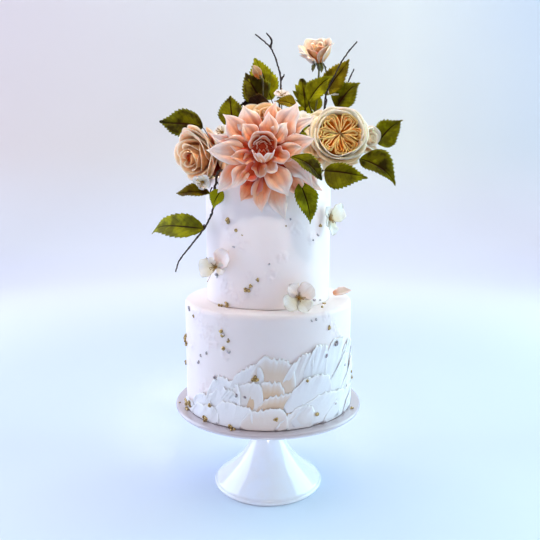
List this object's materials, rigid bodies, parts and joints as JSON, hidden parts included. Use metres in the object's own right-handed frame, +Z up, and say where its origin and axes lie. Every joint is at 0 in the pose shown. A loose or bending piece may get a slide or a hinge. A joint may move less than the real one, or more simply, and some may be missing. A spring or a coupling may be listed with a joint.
{
  "type": "tiered wedding cake on a pedestal stand",
  "caption": "Tiered wedding cake in white icing with sugar flowers and leaves on top, pressed blossoms and petal ruffles on its sides, on a white pedestal stand.",
  "frame": {"origin": "on the surface it stands on, under the middle of the foot", "axes": "+Z up, -Y towards the front with the large coral flower, +X to the right seen from the front"},
  "size_m": [0.301, 0.2311, 0.5538],
  "materials": {
    "glaze": "glossy white glaze",
    "icing": "satin white icing, smooth with patches of crackle relief",
    "wafer": "matt white wafer paper with torn edges",
    "coral_petal": "matt sugar petal, deep coral at the root and paler at its edge",
    "apricot_petal": "matt sugar petal, apricot folds in an ivory cup",
    "peach_petal": "matt sugar petal, pale peach",
    "pale_petal": "thin translucent ivory petal with fine veins",
    "green_leaf": "satin sugar leaf, olive green with darker veins",
    "brown_leaf": "satin sugar leaf, olive brown with a reddish shade",
    "twig": "matt dark bark",
    "gilt": "crumpled gold leaf on small sugar grains"
  },
  "bodies": {
    "root": {"cake_stand": "glaze", "lower_tier": "icing", "upper_tier": "icing", "dahlia": "coral_petal", "rose_left": "peach_petal", "garden_rose": "apricot_petal", "rose_right": "peach_petal", "rose_rear": "peach_petal", "rose_back": "peach_petal", "rosebud_top": "peach_petal", "rosebud_left": "peach_petal", "twig_tall": "twig", "twig_right": "twig", "twig_small": "twig", "twig_hanging": "twig", "leaf_left": "green_leaf", "leaf_upper_left": "green_leaf", "leaf_crown_right": "green_leaf", "leaf_crown_left": "brown_leaf", "leaf_maroon": "brown_leaf", "leaf_olive": "brown_leaf", "leaf_jagged": "green_leaf", "leaf_slant": "green_leaf", "leaf_small": "green_leaf", "leaf_autumn": "brown_leaf", "leaf_upper_right": "green_leaf", "leaf_right": "green_leaf", "leaf_right_low": "green_leaf", "leaf_under_rose": "green_leaf", "leaf_curled": "green_leaf", "leaf_hanging": "green_leaf", "leaf_brown": "brown_leaf", "leaf_bract": "green_leaf", "leaf_low_left": "green_leaf", "leaf_back_left": "green_leaf", "leaf_back_low": "green_leaf", "leaf_back_right": "green_leaf", "leaf_back_side": "green_leaf", "leaf_back_high": "green_leaf", "leaf_back_tall": "green_leaf", "filler_left": "pale_petal", "filler_under_rose": "pale_petal", "filler_middle": "pale_petal", "filler_rear": "pale_petal", "filler_right": "pale_petal", "filler_back": "pale_petal", "side_blossom_left": "pale_petal", "side_blossom_front": "pale_petal", "side_blossom_right": "pale_petal", "ledge_petal": "coral_petal", "ruffle_1_1": "wafer", "ruffle_1_2": "wafer", "ruffle_1_3": "wafer", "ruffle_2_1": "wafer", "ruffle_2_2": "wafer", "ruffle_2_3": "wafer", "ruffle_3_1": "wafer", "ruffle_3_2": "wafer", "ruffle_3_3": "wafer"}
  },
  "joints": []
}
